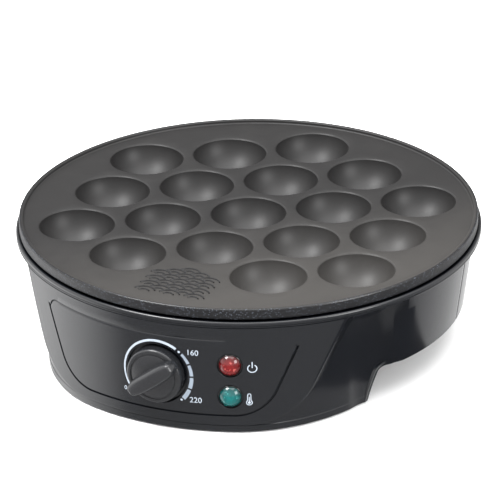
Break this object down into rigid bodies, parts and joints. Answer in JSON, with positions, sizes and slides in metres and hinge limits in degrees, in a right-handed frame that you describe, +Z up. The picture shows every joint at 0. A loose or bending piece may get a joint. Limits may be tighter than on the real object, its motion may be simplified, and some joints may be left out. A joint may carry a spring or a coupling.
{
  "type": "takoyaki maker",
  "caption": "Round countertop electric griddle with domed wells for batter balls, a low moulded base with finger gaps, a dial and indicator lamps",
  "frame": {"origin": "The bottom centre of the overall box, on the table surface under the rubber feet. The plate's vertical axis stands 5 mm behind it, because the knob reaches further forward than the cord gland reaches back.", "axes": "+Z up, the shortest extent. -Y is the front, with the dial and the lamps, so +Y runs from the dial to the cord gland and is the longest extent. +X is to the right as seen from the front."},
  "size_m": [0.276, 0.2908, 0.0775],
  "materials": {
    "cast_plate": "satin non-stick coating on a cast plate",
    "housing_plastic": "glossy charcoal moulding",
    "cover_plastic": "matte black moulding",
    "knob_plastic": "satin black moulding",
    "red_lens": "clear red moulding",
    "teal_lens": "clear teal moulding",
    "foot_rubber": "matte black rubber",
    "steel_sheet": "zinc plated sheet steel",
    "plated_steel": "bright plated steel fasteners",
    "heater_sheath": "heat-darkened steel sheath",
    "ceramic": "unglazed technical ceramic",
    "moulded_white": "cream phenolic moulding",
    "spring_brass": "rolled brass",
    "glass_bulb": "clear glass envelope",
    "wire_sleeve": "braided glass-fibre sleeve"
  },
  "bodies": {
    "base": {"cooking_plate": "cast_plate", "heating_element": "heater_sheath", "heater_clamps": "steel_sheet", "clamp_screws": "plated_steel", "heater_bushings": "ceramic", "heat_reflector": "steel_sheet", "plate_spacers": "plated_steel", "plate_screws": "plated_steel", "housing": "housing_plastic", "bottom_cover": "cover_plastic", "cover_screws": "plated_steel", "rubber_feet": "foot_rubber", "cord_gland": "foot_rubber", "thermostat_body": "moulded_white", "thermostat_bracket": "steel_sheet", "bracket_screws": "plated_steel", "shaft_nut": "plated_steel", "bimetal_strip": "spring_brass", "contact_blades": "spring_brass", "power_lamp_lens": "red_lens", "ready_lamp_lens": "teal_lens", "lamp_clips": "plated_steel", "neon_bulbs": "glass_bulb", "thermal_fuse": "ceramic", "fuse_clip": "steel_sheet", "terminal_block": "moulded_white", "earth_tab": "spring_brass", "inner_wiring": "wire_sleeve"},
    "knob": {"control_knob": "knob_plastic", "thermostat_shaft": "plated_steel"}
  },
  "joints": [
    {"name": "knob_turn", "type": "hinge", "parent": "base", "child": "knob", "pos_m": [0, -0.1332, 0.0342], "axis": [0, 1, 0], "range_deg": [0, 260]}
  ]
}
